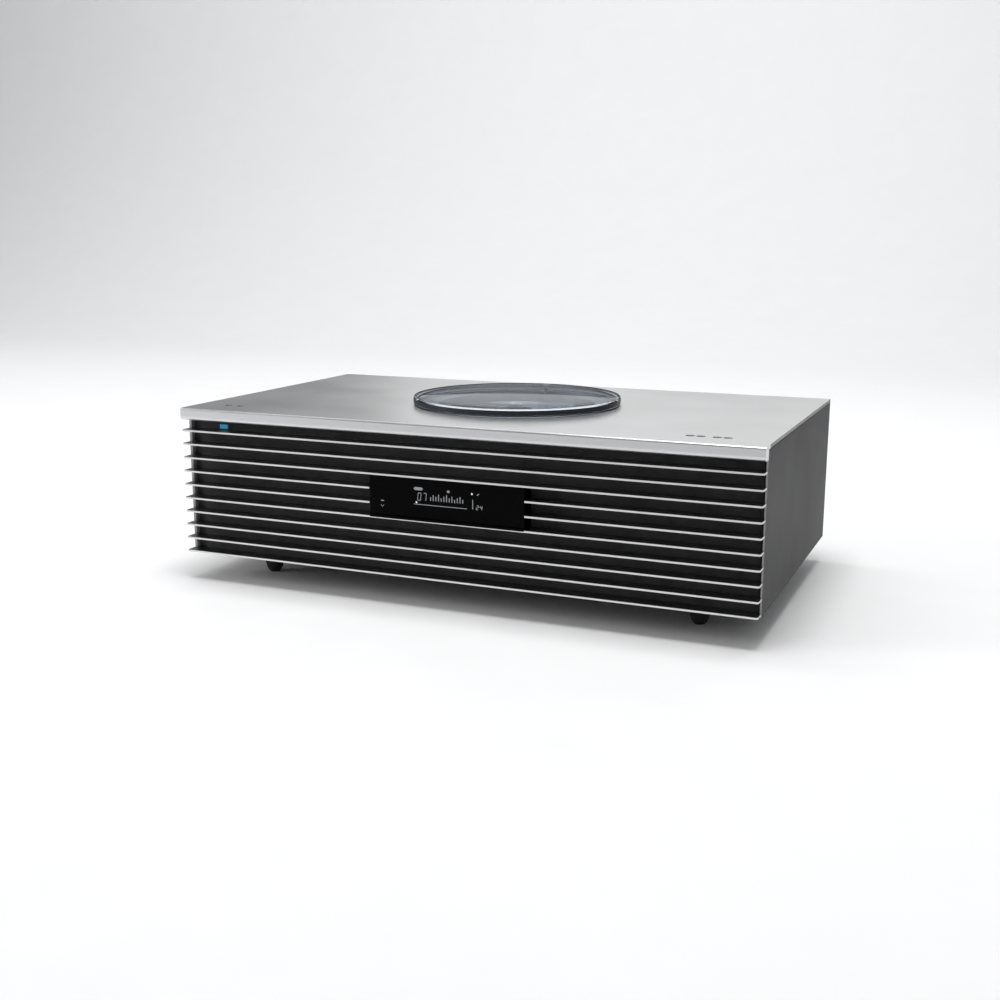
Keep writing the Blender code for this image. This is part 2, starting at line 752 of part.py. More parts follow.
def make_bass_port():
    """A curved tube from the left side of the case to the round hole in the rear panel."""
    bend = 28 * MM
    start_y = REAR_PANEL_Y + REAR_THICKNESS + 0.8 * MM
    turn_y = REAR_PANEL_Y - 6 * MM
    route = [(0, start_y)]
    route += arc((-bend, turn_y), bend, 0, -90, 8)
    route += [(-70 * MM, turn_y - bend)]
    curve = bpy.data.curves.new("bass_port", "CURVE")
    curve.dimensions = "3D"
    curve.bevel_depth = PORT_RADIUS - 1.7 * MM
    curve.bevel_resolution = 6
    spline = curve.splines.new("POLY")
    spline.points.add(len(route) - 1)
    for point, (x, y) in zip(spline.points, route):
        point.co = (x, y, PORT_Z, 1)
    drawn = bpy.data.objects.new("bass_port_route", curve)
    CUTTERS.objects.link(drawn)
    bpy.context.view_layer.update()
    mesh = bpy.data.meshes.new_from_object(drawn.evaluated_get(bpy.context.evaluated_depsgraph_get()))
    bpy.data.objects.remove(drawn)
    shape = bmesh.new()
    shape.from_mesh(mesh)
    bmesh.ops.remove_doubles(shape, verts=shape.verts, dist=0.00001)
    tube = from_bmesh("bass_port", shape, BLACK)
    wall = tube.modifiers.new("wall", "SOLIDIFY")
    wall.thickness = 1.6 * MM
    wall.offset = 1


# --- Electronics ----------------------------------------------------------------------------------


def make_boards():
    low = 32 * MM
    thickness = 1.6 * MM
    top = low + thickness
    sink = low + thickness / 2  # parts on a board start inside it, so that the union holds
    power = box("power_board", (84 * MM, 2 * MM, low), (214 * MM, 104 * MM, top), BOARD)
    lifts = [
        box_cutter("transformer", (98 * MM, 24 * MM, sink), (134 * MM, 58 * MM, 66 * MM)),
        rod_cutter("capacitor_1", at(160 * MM, 36 * MM, 48 * MM), 11 * MM, 32 * MM, sides=TINY_ROUND),
        rod_cutter("capacitor_2", at(188 * MM, 36 * MM, 48 * MM), 11 * MM, 32 * MM, sides=TINY_ROUND),
        box_cutter("choke", (104 * MM, 74 * MM, sink), (124 * MM, 94 * MM, 52 * MM)),
        box_cutter("relay", (188 * MM, 70 * MM, sink), (208 * MM, 84 * MM, 50 * MM)),
    ]
    join(power, *lifts)
    main = box("main_board", (-214 * MM, 2 * MM, low), (-84 * MM, 110 * MM, top), BOARD)
    chips = [
        box_cutter("processor_shield", (-150 * MM, 12 * MM, sink), (-116 * MM, 40 * MM, 38 * MM)),
        box_cutter("network_module", (-206 * MM, 12 * MM, sink), (-176 * MM, 34 * MM, 37 * MM)),
    ]
    join(main, *chips)
    base = top + GAP
    heat_sink = box("heat_sink", (-200 * MM, 56 * MM, base), (-120 * MM, 100 * MM, 70 * MM), STEEL)
    groove_count = 6
    pitch = 80 * MM / (groove_count + 0.5)
    for i in range(groove_count):
        x = -200 * MM + (i + 0.75) * pitch
        cut(
            heat_sink,
            box_cutter(
                f"sink_groove_{i}", (x - 4 * MM, 50 * MM, base + 5 * MM), (x + 4 * MM, 110 * MM, 80 * MM)
            ),
        )


def make_rear_jacks():
    front, back = 111.5 * MM, REAR_PANEL_Y + REAR_THICKNESS + MM
    block = box("rear_jacks", (JACKS_X[0], front, JACKS_Z[0]), (JACKS_X[1], back, JACKS_Z[1]), BLACK)
    middle = (JACKS_Z[0] + JACKS_Z[1]) / 2
    depth = 11 * MM
    for name, x, half_x, half_z in (
        ("lan_socket", -166 * MM, 6.2 * MM, 4.6 * MM),
        ("usb_socket", -146 * MM, 6.6 * MM, 2.9 * MM),
    ):
        socket = box_cutter(
            name,
            (x - half_x, back - depth, middle - half_z),
            (x + half_x, back + depth, middle + half_z),
        )
        cut(block, socket)
    for name, x, radius in (
        ("aux_socket", -130 * MM, 1.9 * MM),
        ("headphone_socket", -118.5 * MM, 1.9 * MM),
        ("aerial_socket", -107 * MM, 2.2 * MM),
    ):
        cut(
            block,
            rod_cutter(name, at(x, back, middle), radius, 2 * depth, FACING_FRONT, sides=TINY_ROUND),
        )
    half_x, half_z = 12 * MM, 9 * MM
    front = 106 * MM
    inlet = box(
        "ac_inlet",
        (INLET_X - half_x, front, INLET_Z - half_z),
        (INLET_X + half_x, back, INLET_Z + half_z),
        BLACK,
    )
    depth = 15 * MM
    cavity = box_cutter(
        "inlet_cavity",
        (INLET_X - 7.8 * MM, back - depth, INLET_Z - 4.6 * MM),
        (INLET_X + 7.8 * MM, back + depth, INLET_Z + 4.6 * MM),
    )
    cut(inlet, cavity)
    pin_length = 9 * MM
    for side in (-1, 1):
        pin = rod_cutter(
            f"inlet_pin_{side}",
            at(INLET_X + side * 3.3 * MM, back - depth + pin_length / 2 - MM, INLET_Z),
            1.2 * MM,
            pin_length,
            FACING_FRONT,
            sides=TINY_ROUND,
        )
        join(inlet, pin)


make_top_panel()
make_side_panels()
make_bottom_plate()
make_rear_panel()
make_feet()
make_fins()
make_grille_and_baffle()
make_display()
make_lid()
make_disc_well()
make_disc_drive()
make_laser_pickup()
make_buttons()
make_loudspeakers()
make_bass_port()
make_boards()
make_rear_jacks()
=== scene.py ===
"""Looks for the one-box hifi: materials, fine detail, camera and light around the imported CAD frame."""

import json
import math

import bmesh
import bpy
from mathutils import Matrix, Vector


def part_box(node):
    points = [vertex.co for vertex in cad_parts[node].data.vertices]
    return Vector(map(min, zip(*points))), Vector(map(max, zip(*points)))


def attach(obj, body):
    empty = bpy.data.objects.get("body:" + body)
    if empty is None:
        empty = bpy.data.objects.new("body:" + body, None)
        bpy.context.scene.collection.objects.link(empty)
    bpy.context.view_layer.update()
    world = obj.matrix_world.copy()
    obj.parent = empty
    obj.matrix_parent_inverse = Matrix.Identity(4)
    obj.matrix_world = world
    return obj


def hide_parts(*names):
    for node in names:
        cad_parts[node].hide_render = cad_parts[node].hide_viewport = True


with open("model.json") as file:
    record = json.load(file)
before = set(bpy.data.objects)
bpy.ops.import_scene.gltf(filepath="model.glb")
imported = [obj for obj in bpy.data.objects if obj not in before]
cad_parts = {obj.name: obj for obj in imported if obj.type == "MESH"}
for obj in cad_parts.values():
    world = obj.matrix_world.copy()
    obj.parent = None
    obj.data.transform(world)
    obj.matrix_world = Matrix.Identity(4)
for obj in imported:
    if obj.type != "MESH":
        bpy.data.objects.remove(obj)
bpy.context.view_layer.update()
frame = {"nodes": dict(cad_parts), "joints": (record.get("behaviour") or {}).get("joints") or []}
NODES = frame["nodes"]
JOINTS = {joint["name"]: joint for joint in frame["joints"]}
MM = 0.001
CASE = "case"

SMOOTH_ANGLE = math.radians(35)
BEVEL_ANGLE = math.radians(40)
LID_STEPS = 160
MARK_LIFT = 0.04 * MM
WORLD_HORIZON = 0.12
WORLD_OVERHEAD = 0.4
SWEEP_START = 1.6


# --- Materials ------------------------------------------------------------------------------------


class Shader:
    """One Principled material and the nodes that feed it."""

    def __init__(self, name, roughness=0.5, metallic=0.0):
        self.material = bpy.data.materials.new(name)
        self.material.use_nodes = True
        self.tree = self.material.node_tree
        self.principled = self.tree.nodes["Principled BSDF"]
        self.set("Roughness", roughness)
        self.set("Metallic", metallic)
        self.place = self.tree.nodes.new("ShaderNodeTexCoord").outputs["Object"]

    def set(self, socket, value):
        self.principled.inputs[socket].default_value = value

    def link(self, source, target):
        self.tree.links.new(source, target)

    def stretched(self, scale):
        mapping = self.tree.nodes.new("ShaderNodeMapping")
        mapping.inputs["Scale"].default_value = scale
        self.link(self.place, mapping.inputs["Vector"])
        return mapping.outputs["Vector"]

    def noise(self, scale, detail=3.0, stretch=(1, 1, 1)):
        node = self.tree.nodes.new("ShaderNodeTexNoise")
        node.inputs["Scale"].default_value = scale
        node.inputs["Detail"].default_value = detail
        self.link(self.stretched(stretch), node.inputs["Vector"])
        return node.outputs["Fac"]

    def wave(self, axis, scale, stretch=(1, 1, 1)):
        node = self.tree.nodes.new("ShaderNodeTexWave")
        node.bands_direction = axis
        node.inputs["Scale"].default_value = scale
        node.inputs["Distortion"].default_value = 0.0
        self.link(self.stretched(stretch), node.inputs["Vector"])
        return node.outputs["Fac"]

    def math(self, operation, first, second):
        node = self.tree.nodes.new("ShaderNodeMath")
        node.operation = operation
        for socket, value in zip(node.inputs, (first, second)):
            if isinstance(value, (int, float)):
                socket.default_value = value
            else:
                self.link(value, socket)
        return node.outputs[0]

    def spread(self, source, low, high):
        """The source's middle range, stretched to run from low to high."""
        node = self.tree.nodes.new("ShaderNodeMapRange")
        node.inputs["From Min"].default_value = 0.3
        node.inputs["From Max"].default_value = 0.7
        node.inputs["To Min"].default_value = low
        node.inputs["To Max"].default_value = high
        self.link(source, node.inputs["Value"])
        return node.outputs["Result"]

    def mix(self, factor, first, second):
        node = self.tree.nodes.new("ShaderNodeMix")
        node.data_type = "RGBA"
        self.link(factor, node.inputs["Factor"])
        colours = [socket for socket in node.inputs if socket.type == "RGBA"]
        for socket, value in zip(colours, (first, second)):
            if isinstance(value, tuple):
                socket.default_value = (*value, 1)
            else:
                self.link(value, socket)
        return next(socket for socket in node.outputs if socket.type == "RGBA")

    def colour(self, source):
        self.link(source, self.principled.inputs["Base Color"])

    def base_colour(self):
        return self.principled.inputs["Base Color"].links[0].from_socket

    def roughness(self, source):
        self.link(source, self.principled.inputs["Roughness"])

    def bump(self, source, strength, distance):
        node = self.tree.nodes.new("ShaderNodeBump")
        node.inputs["Strength"].default_value = strength
        node.inputs["Distance"].default_value = distance
        self.link(source, node.inputs["Height"])
        self.link(node.outputs["Normal"], self.principled.inputs["Normal"])

    def facing(self, axis, low, high):
        """0 to 1 as the surface turns towards one of its own axes, either way."""
        coordinates = self.tree.nodes.new("ShaderNodeTexCoord")
        split = self.tree.nodes.new("ShaderNodeSeparateXYZ")
        self.link(coordinates.outputs["Normal"], split.inputs[0])
        node = self.tree.nodes.new("ShaderNodeMapRange")
        node.interpolation_type = "SMOOTHSTEP"
        node.inputs["From Min"].default_value = low
        node.inputs["From Max"].default_value = high
        self.link(self.math("ABSOLUTE", split.outputs[axis], 0.0), node.inputs["Value"])
        return node.outputs["Result"]

    def where(self, axis, comparison, limit):
        """1 on one side of a plane across the object, 0 on the other."""
        split = self.tree.nodes.new("ShaderNodeSeparateXYZ")
        self.link(self.place, split.inputs[0])
        return self.math(comparison, split.outputs[axis], limit)

    def both(self, first, second):
        return self.math("MULTIPLY", first, second)


def shade(colour, factor):
    return tuple(min(1.0, channel * factor) for channel in colour)


def surface(
    name,
    colour,
    rough,
    metallic=0.0,
    grain=2500,
    relief=0.15,
    depth=0.02 * MM,
    tint=0.08,
    stretch=(1, 1, 1),
):
    """A grained finish: fine relief, and broad soft changes of tone and gloss."""
    made = Shader(name, rough, metallic)
    broad = made.noise(14, 4)
    fine = made.noise(grain, 2, stretch)
    tone = made.math("ADD", made.math("MULTIPLY", broad, 0.6), made.math("MULTIPLY", fine, 0.4))
    made.colour(made.mix(made.spread(tone, 0, 1), shade(colour, 1 - tint), shade(colour, 1 + tint)))
    made.roughness(made.spread(tone, rough * 0.88, rough * 1.12))
    made.bump(fine, relief, depth)
    return made


def cloth(name, colour):
    """Plain-woven grille cloth."""
    made = Shader(name, 0.9)
    warp = made.wave("X", 420)
    weft = made.wave("Z", 420)
    weave = made.math("MULTIPLY", warp, weft)
    tone = made.spread(made.math("ADD", weave, made.noise(60, 3)), 0, 1)
    made.colour(made.mix(tone, shade(colour, 0.5), shade(colour, 1.6)))
    made.bump(weave, 0.6, 0.25 * MM)
    made.set("Sheen Weight", 0.25)
    made.set("Sheen Roughness", 0.5)
    return made


def fin_finish(name, edge, flat):
    """Bright satin along the edge; painted shade makes the flat top and underside darker."""
    made = surface(name, edge, 0.34, 1.0, grain=1800, relief=0.1)
    shaded_flat_mask = made.facing("Z", 0.5, 0.75)
    bright = made.base_colour()
    made.colour(made.mix(shaded_flat_mask, bright, flat))
    return made


# Near black for the front and rear edges short of the painted highlight line.
EDGE_NEAR_BLACK = (0.006, 0.006, 0.006)
OUTER_FACE_X = 0.2238
CLOTH_Y = -0.11
LIP_BACK_Y = -0.115


def side_finish(name, face, edge, lit_from, lit_inside):
    """Satin paint, with painted light on the front and rear edges: pale beyond a given x and near black
    short of it, so that on the right panel only a painted highlight line at the outer corner is pale. With
    the inside option, the inner face forward of the cloth takes the pale grey too: painted light.
    """
    made = surface(name, face, 0.5, 0.0, grain=1400, relief=0.3, tint=0.06)
    made.set("Specular IOR Level", 0.12)
    painted = made.base_colour()
    # Painted light: faces turned to the front or rear are pale beyond the given x and near black short of
    # it.
    edge_tone = made.mix(made.where("X", "GREATER_THAN", lit_from), EDGE_NEAR_BLACK, edge)
    trimmed = made.mix(made.facing("Y", 0.5, 0.75), painted, edge_tone)
    # Painted light: the inner face forward of the cloth takes the pale edge grey.
    if lit_inside:
        inner = made.both(made.facing("X", 0.5, 0.75), made.where("X", "GREATER_THAN", -OUTER_FACE_X))
        lit = made.both(inner, made.where("Y", "LESS_THAN", CLOTH_Y))
        trimmed = made.mix(lit, trimmed, edge)
    made.colour(trimmed)
    return made


def top_finish(name, top, front, side):
    """Bead-blasted silver, with painted shade: a little darker on faces turned to the front or rear, and
    dark along the two side edges behind the lip.
    """
    made = surface(name, top, 0.33, 1.0, grain=1600, relief=0.12, tint=0.03)
    flat = made.base_colour()
    shaded_front = made.mix(made.facing("Y", 0.6, 0.95), flat, front)
    shaded_side_mask = made.both(made.facing("X", 0.6, 0.9), made.where("Y", "GREATER_THAN", LIP_BACK_Y))
    made.colour(made.mix(shaded_side_mask, shaded_front, side))
    return made


def smoked(name, colour):
    """Clear tinted plastic with a faint haze."""
    made = Shader(name, 0.02)
    haze = made.noise(40, 4)
    made.colour(made.mix(made.spread(haze, 0, 1), shade(colour, 0.97), shade(colour, 1.03)))
    made.roughness(made.spread(haze, 0.008, 0.035))
    made.set("Transmission Weight", 1.0)
    made.set("IOR", 1.06)
    return made


def glowing(name, colour, strength):
    """A lit mark that gives off its own colour."""
    made = Shader(name, 0.3)
    made.colour(made.mix(made.spread(made.noise(900, 2), 0, 1), shade(colour, 0.8), colour))
    made.set("Emission Color", (*colour, 1))
    made.set("Emission Strength", strength)
    return made


TOP_SILVER = (0.68, 0.683, 0.687)
# Painted shade: the deeper silver for the top panel's faces turned to the front or rear.
SHADED_LIP_SILVER = (0.66, 0.663, 0.668)
# Painted shade: the dark grey along the top panel's side edges behind the lip.
SHADED_SIDE_EDGE_GREY = (0.09, 0.09, 0.093)
SILVER = top_finish("top_satin_silver", TOP_SILVER, SHADED_LIP_SILVER, SHADED_SIDE_EDGE_GREY)
# Painted shade: the fins' flat top and underside take the darker grey.
FIN = fin_finish("fin_silver_edge", (0.70, 0.70, 0.70), (0.26, 0.26, 0.263))
SIDE_GREY = (0.05, 0.0505, 0.0525)
# The pale grey of the side panels' front and rear edges: painted light.
EDGE_GREY = (0.40, 0.40, 0.41)
GRAPHITE_LEFT = side_finish("left_side_satin_grey", SIDE_GREY, EDGE_GREY, -1.0, True)
# Only a hairline at the outer corner of the right panel's front and rear edges stays pale: a painted
# highlight.
GRAPHITE_RIGHT = side_finish("right_side_satin_grey", SIDE_GREY, EDGE_GREY, 0.2237, False)
BUTTON = surface("button_satin", (0.12, 0.12, 0.122), 0.55, 0.0, grain=2200)
BLACK = surface(
    "moulded_black", (0.022, 0.022, 0.023), 0.5,
    grain=1200, relief=0.3, depth=0.05 * MM, tint=0.2,
)
REAR = surface(
    "rear_black_paint", (0.03, 0.03, 0.031), 0.48,
    grain=900, relief=0.4, depth=0.05 * MM, tint=0.15,
)
GLOSS = surface("window_gloss_black", (0.0012, 0.0012, 0.0016), 0.06, grain=300, relief=0.01, tint=0.3)
CLOTH = cloth("grille_cloth_weave", (0.03, 0.03, 0.031))
GLASS = smoked("smoked_acrylic_clear", (0.50, 0.54, 0.59))
WELL = surface("well_satin_grey", (0.30, 0.31, 0.325), 0.35, 0.5, grain=1500, relief=0.2, tint=0.06)
STEEL = surface("plain_steel", (0.58, 0.58, 0.58), 0.3, 1.0, grain=700, tint=0.1, stretch=(1, 1, 0.1))
BRIGHT = surface("polished_pin", (0.82, 0.82, 0.82), 0.14, 1.0, grain=900, relief=0.05, tint=0.05)
BRASS = surface("gilt_contact", (0.75, 0.52, 0.2), 0.25, 1.0, grain=900, relief=0.05, tint=0.1)
RUBBER = surface(
    "foot_rubber_black", (0.012, 0.012, 0.012), 0.75,
    grain=800, relief=0.4, depth=0.08 * MM, tint=0.3,
)
BOARD = surface(
    "board_solder_mask", (0.015, 0.11, 0.045), 0.45,
    grain=300, relief=0.3, depth=0.05 * MM, tint=0.3,
)
PULP = surface("cone_pulp", (0.035, 0.035, 0.038), 0.75, grain=500, relief=0.6, depth=0.15 * MM, tint=0.3)
LENS = surface("pickup_lens", (0.03, 0.02, 0.08), 0.04, grain=400, relief=0.01, tint=0.4)
BLUE = glowing("indicator_blue", (0.03, 0.24, 0.36), 0.55)
GLYPH = glowing("display_marks_dim", (0.3, 0.32, 0.33), 0.09)
GLYPH_BRIGHT = glowing("display_marks_bright", (0.7, 0.74, 0.76), 0.5)
# Painted reflection: the near-black band round the lid's wall.
RIM = surface("lid_rim_painted_reflection", (0.035, 0.037, 0.041), 0.3, grain=500, relief=0.03, tint=0.25)

GLOSS.set("Specular IOR Level", 0.03)
RIM.set("Specular IOR Level", 0.05)

# The first prefix that a node's name starts with gives its finish.
FINISHES = {
    "top_panel": SILVER,
    "side_panel_left": GRAPHITE_LEFT,
    "side_panel_right": GRAPHITE_RIGHT,
    "fin_": FIN,
    "power_indicator": BLUE,
    "display_window": GLOSS,
    "display_module": BOARD,
    "grille_cloth": CLOTH,
    "foot_": RUBBER,
    "disc_well": WELL,
    "lid_pivot": BRIGHT,
    "guide_rod": BRIGHT,
    "lead_screw": BRIGHT,
    "sled_motor": STEEL,
    "spindle_motor": STEEL,
    "traverse_plate": STEEL,
    "heat_sink": STEEL,
    "woofer_cone": PULP,
    "subwoofer_cone": PULP,
    "woofer_": STEEL,
    "subwoofer": STEEL,
    "main_board": BOARD,
    "power_board": BOARD,
    "switch_board": BOARD,
    "rear_panel": REAR,
    "bottom_plate": REAR,
}
FIN_EDGE_RADIUS = 0.25 * MM
PANEL_EDGE_RADIUS = 0.3 * MM
EDGE_RADII = {
    "fin_": FIN_EDGE_RADIUS,
    "side_panel": PANEL_EDGE_RADIUS,
    "display_window": PANEL_EDGE_RADIUS,
    "rear_panel": PANEL_EDGE_RADIUS,
    "rear_jacks": PANEL_EDGE_RADIUS,
    "ac_inlet": PANEL_EDGE_RADIUS,
}


def smooth(obj):
    mesh = obj.data
    for polygon in mesh.polygons:
        polygon.use_smooth = True
    mesh.set_sharp_from_angle(angle=SMOOTH_ANGLE)


def rounded(obj, radius, segments=2):
    bevel = obj.modifiers.new("edge", "BEVEL")
    bevel.width = radius
    bevel.segments = segments
    bevel.limit_method = "ANGLE"
    bevel.angle_limit = BEVEL_ANGLE
    bevel.harden_normals = True


def finish_cad_nodes():
    for name, obj in NODES.items():
        finish = next((look for prefix, look in FINISHES.items() if name.startswith(prefix)), BLACK)
        if name.endswith("_button"):
            finish = BUTTON
        obj.data.materials.clear()
        obj.data.materials.append(finish.material)
        radius = next((value for prefix, value in EDGE_RADII.items() if name.startswith(prefix)), None)
        if radius:
            rounded(obj, radius)


# --- Shape helpers --------------------------------------------------------------------------------


def piece(name, shape, finish, body=CASE):
    bmesh.ops.recalc_face_normals(shape, faces=shape.faces)
    mesh = bpy.data.meshes.new(name)
    shape.to_mesh(mesh)
    shape.free()
    obj = bpy.data.objects.new(name, mesh)
    bpy.context.scene.collection.objects.link(obj)
    mesh.materials.append(finish.material)
    smooth(obj)
    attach(obj, body)
    return obj


def lathe(shape, profile, centre=(0, 0, 0), turn=Matrix.Identity(3), steps=96, ring=False):
    """Adds a (radius, height) profile turned about Z. A ring is a profile that closes on itself."""
    centre = Vector(centre)
    rows = []
    for radius, height in profile:
        if radius < 1e-7:
            rows.append([shape.verts.new(centre + turn @ Vector((0, 0, height)))])
            continue
        angles = [2 * math.pi * i / steps for i in range(steps)]
        points = [turn @ Vector((radius * math.cos(a), radius * math.sin(a), height)) for a in angles]
        rows.append([shape.verts.new(centre + point) for point in points])
    pairs = list(zip(rows, rows[1:]))
    if ring:
        pairs.append((rows[-1], rows[0]))
    for upper, lower in pairs:
        for i in range(steps):
            j = (i + 1) % steps
            corners = [upper[i % len(upper)], upper[j % len(upper)]]
            corners += [lower[j % len(lower)], lower[i % len(lower)]]
            shape.faces.new(list(dict.fromkeys(corners)))
    return shape


def block(shape, low, high, chamfer=0.0):
    """Adds a box, with its edges eased where a chamfer is given."""
    low, high = Vector(low), Vector(high)
    made = bmesh.ops.create_cube(shape, size=1)["verts"]
    for vertex in made:
        vertex.co = Vector([low[k] if vertex.co[k] < 0 else high[k] for k in range(3)])
    if chamfer:
        edges = {edge for vertex in made for edge in vertex.link_edges}
        bmesh.ops.bevel(shape, geom=list(edges), offset=chamfer, segments=2, affect="EDGES", profile=0.5)
    return shape


def rim_arc(centre, radius, start, end, steps=6):
    """Points on an arc in the (radius, height) plane, from start to end in degrees."""
    angles = [math.radians(start + (end - start) * i / steps) for i in range(steps + 1)]
    return [(centre[0] + radius * math.cos(a), centre[1] + radius * math.sin(a)) for a in angles]


def footprint(name):
    """The centre of a CAD node in plan, at height 0."""
    low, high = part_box(name)
    return Vector(((low.x + high.x) / 2, (low.y + high.y) / 2, 0))


FACING_REAR = Matrix.Rotation(-math.pi / 2, 3, "X")
FACING_DOWN = Matrix.Rotation(math.pi, 3, "X")


# --- Lid and disc well ----------------------------------------------------------------------------


def make_lid():
    """A hollow crowned lid with rounded rims, and a black ring under its wall that darkens the rim and the
    gap below it: painted shade.
    """
    low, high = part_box("lid_dome")
    centre = footprint("lid_dome")
    radius = (high.x - low.x) / 2
    rise = 2.2 * MM
    roof = 2.2 * MM
    wall = 2.6 * MM
    edge = 1.3 * MM
    foot = 0.6 * MM
    inside = radius - wall
    rim_z = high.z - rise
    shares = [i / 14 for i in range(14)]
    profile = [(radius * share, high.z - rise * share**2) for share in shares]
    profile += rim_arc((radius - edge, rim_z - edge), edge, 90, 0)
    profile += rim_arc((radius - foot, low.z + foot), foot, 0, -90, 4)
    profile += [(inside, low.z), (inside, rim_z - roof - edge)]
    profile += [(share * inside, high.z - roof - rise * share**2) for share in reversed(shares)]
    shell = lathe(bmesh.new(), profile, centre, steps=LID_STEPS)
    lid = piece("lid_glass", shell, GLASS, "lid")
    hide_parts("lid_dome")
    # Painted shade: a black ring in the gap under the wall, which also darkens the rim seen through the
    # clear lid.
    shade_ring_top, shade_ring_foot = low.z - 0.05 * MM, low.z - 0.6 * MM
    section = [(radius - 5 * MM, shade_ring_top), (radius - 0.5 * MM, shade_ring_top)]
    section += [(radius - 0.8 * MM, shade_ring_foot), (radius - 4.6 * MM, shade_ring_foot)]
    shade_ring = lathe(bmesh.new(), section, centre, steps=LID_STEPS, ring=True)
    piece("lid_shade_ring", shade_ring, BLACK, "lid")


def make_lid_band():
    """A thin dark band round the lid's wall: a painted dark reflection for the clear rim."""
    low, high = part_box("lid_dome")
    radius = (high.x - low.x) / 2
    foot, brow = low.z + 0.7 * MM, high.z - 3.7 * MM
    proud, edge = 0.12 * MM, 0.08 * MM
    profile = [(radius - edge, brow), (radius + proud / 2, brow), (radius + proud, brow - edge)]
    profile += [(radius + proud, foot + edge), (radius + proud / 2, foot), (radius - edge, foot)]
    band = lathe(bmesh.new(), profile, footprint("lid_dome"), steps=LID_STEPS, ring=True)
    piece("lid_rim_band", band, RIM, "lid")


def make_well_detail():
    """The hub's cap and mat, the ring in the well's floor and the pickup's lens."""
    centre = footprint("disc_well")
    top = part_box("disc_hub")[1].z
    base = top + 0.02 * MM
    cap = [(0, top + 0.9 * MM), (2.2 * MM, top + 0.8 * MM), (3.6 * MM, top + 0.4 * MM)]
    cap += [(4.2 * MM, base), (0, base)]
    piece("hub_cap", lathe(bmesh.new(), cap, centre, steps=48), BRIGHT, "disc_hub")
    floor = JOINTS["disc_spin"]["pos_m"][2] - 9.5 * MM
    mat_foot = floor + 2.52 * MM
    mat_top = floor + 2.85 * MM
    mat = [(8 * MM, mat_top), (11.6 * MM, mat_top), (11.8 * MM, mat_foot), (7.8 * MM, mat_foot)]
    mat_ring = lathe(bmesh.new(), mat, centre, steps=64, ring=True)
    piece("hub_mat", mat_ring, RUBBER, "disc_hub")
    inner, outer = 59.8 * MM, 61.2 * MM
    slope = 0.2 * MM
    rest = [(inner + slope, floor + 0.35 * MM), (outer - slope, floor + 0.35 * MM)]
    rest += [(outer, floor + 0.01 * MM), (inner, floor + 0.01 * MM)]
    well_ring = lathe(bmesh.new(), rest, centre, steps=128, ring=True)
    piece("well_ring", well_ring, STEEL, CASE)
    lens_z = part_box("laser_pickup")[1].z
    lens_foot = lens_z + 0.02 * MM
    eye = [(0, lens_z + 0.5 * MM), (1.1 * MM, lens_z + 0.35 * MM), (1.8 * MM, lens_foot), (0, lens_foot)]
    lens = lathe(bmesh.new(), eye, (footprint("laser_pickup").x, centre.y, 0), steps=40)
    piece("pickup_eye", lens, LENS, "pickup")


# --- Display --------------------------------------------------------------------------------------

SEGMENTS = {"0": "abcdef", "2": "abged", "4": "fgbc", "7": "abc"}
BAR_HEIGHTS = (3.0, 4.6, 3.6, 5.2, 2.8, 4.2, 5.4, 3.4, 4.8, 2.6, 4.0, 5.0, 3.2)
# Each mark, in mm from the window's middle and its top: start, end and width.
PLAIN_MARKS = (
    (-25, -18.6, 17, -18.6, 0.5),
    (-25, -7.2, -17.5, -7.2, 2.2),
    (1.1, -7.5, 3.9, -7.5, 2.0),
    (24.6, -8.4, 26.4, -7.0, 0.6),
    (21.4, -11.6, 21.4, -18.6, 0.6),
)
BRIGHT_MARKS = ((20.0, -7.6, 21.6, -7.6, 1.6), (-23.6, -17.2, -22.0, -17.2, 1.6))
ICON_MARKS = (
    (-51.7, -18.2, -48.9, -18.2, 0.7),
    (-51.7, -21.2, -50.3, -23, 0.35),
    (-49.3, -21.2, -50.7, -23, 0.35),
)


def stroke(shape, x0, z0, x1, z1, width, y):
    """A flat bar with pointed ends, standing a little in front of the window."""
    start, end = Vector((x0, 0, z0)), Vector((x1, 0, z1))
    along = (end - start).normalized()
    side = Vector((-along.z, 0, along.x)) * width / 2
    tip = along * width / 2
    outline = [start, start + tip + side, end - tip + side, end, end - tip - side, start + tip - side]
    front = [shape.verts.new(point + Vector((0, y - MARK_LIFT, 0))) for point in outline]
    back = [shape.verts.new(point + Vector((0, y, 0))) for point in outline]
    shape.faces.new(front)
    shape.faces.new(list(reversed(back)))
    count = len(outline)
    for i in range(count):
        j = (i + 1) % count
        shape.faces.new([front[i], back[i], back[j], front[j]])


def strokes(marks, top, y):
    shape = bmesh.new()
    for x0, z0, x1, z1, width in marks:
        stroke(shape, x0 * MM, top + z0 * MM, x1 * MM, top + z1 * MM, width * MM, y)
    return shape


def digit(shape, figure, x, z, width, height, y):
    """A slanted figure of up to seven bars, a to g."""
    half = height / 2
    bars = {
        "a": (0, height, width, height),
        "b": (width, half, width, height),
        "c": (width, 0, width, half),
        "d": (0, 0, width, 0),
        "e": (0, 0, 0, half),
        "f": (0, half, 0, height),
        "g": (0, half, width, half),
    }
    slant = 0.12
    for letter in SEGMENTS[figure]:
        x0, z0, x1, z1 = bars[letter]
        left, right = x + x0 + slant * z0, x + x1 + slant * z1
        stroke(shape, left, z + z0, right, z + z1, 0.5 * MM, y)


